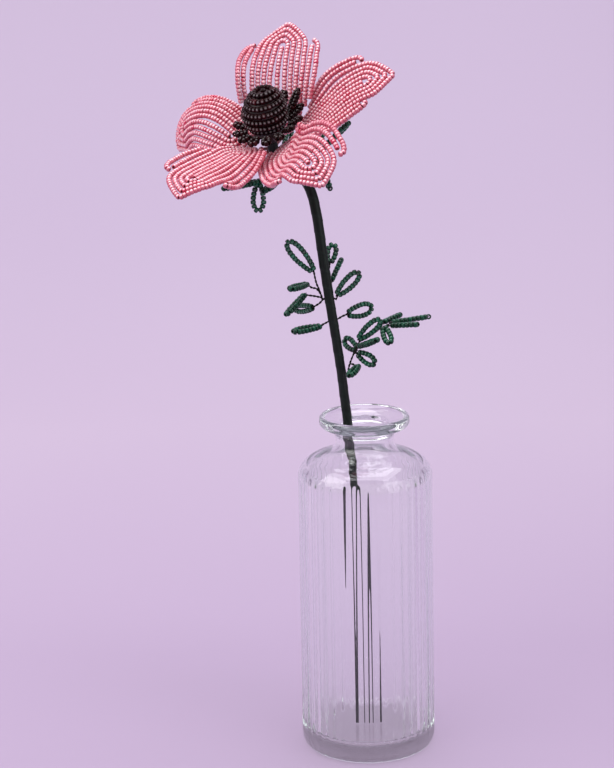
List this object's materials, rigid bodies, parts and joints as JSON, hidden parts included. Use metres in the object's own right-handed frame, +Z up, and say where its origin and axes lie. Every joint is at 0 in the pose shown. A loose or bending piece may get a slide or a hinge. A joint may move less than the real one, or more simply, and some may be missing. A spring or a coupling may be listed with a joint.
{
  "type": "beaded anemone in glass bottle",
  "caption": "Pink beaded anemone with a dark domed centre and small green bead leaves on a bent stem, standing in a clear fluted glass bottle.",
  "frame": {"origin": "centre of the bottle's base, on the surface that it stands on", "axes": "+Z up along the bottle, +X to the viewer's right, +Y away from the viewer"},
  "size_m": [0.1045, 0.0846, 0.3008],
  "materials": {
    "bottle_glass": "clear pressed glass with a faint green tint, upright flutes on the body",
    "pink_beads": "glossy lined glass seed beads threaded in rows on wire",
    "dark_beads": "glossy dark burgundy glass beads",
    "green_beads": "glossy emerald glass beads on thin dark wire",
    "stem_tape": "very dark green floral tape wrapped round a bundle of wires"
  },
  "bodies": {
    "root": {"bottle": "bottle_glass", "stem": "stem_tape", "flower_centre": "dark_beads", "stamen_ring": "dark_beads", "petal_1": "pink_beads", "petal_2": "pink_beads", "petal_3": "pink_beads", "petal_4": "pink_beads", "petal_5": "pink_beads", "bract_1": "green_beads", "bract_2": "green_beads", "bract_3": "green_beads", "leaf_spray_upper": "green_beads", "leaf_spray_middle": "green_beads", "leaf_spray_lower": "green_beads"}
  },
  "joints": []
}
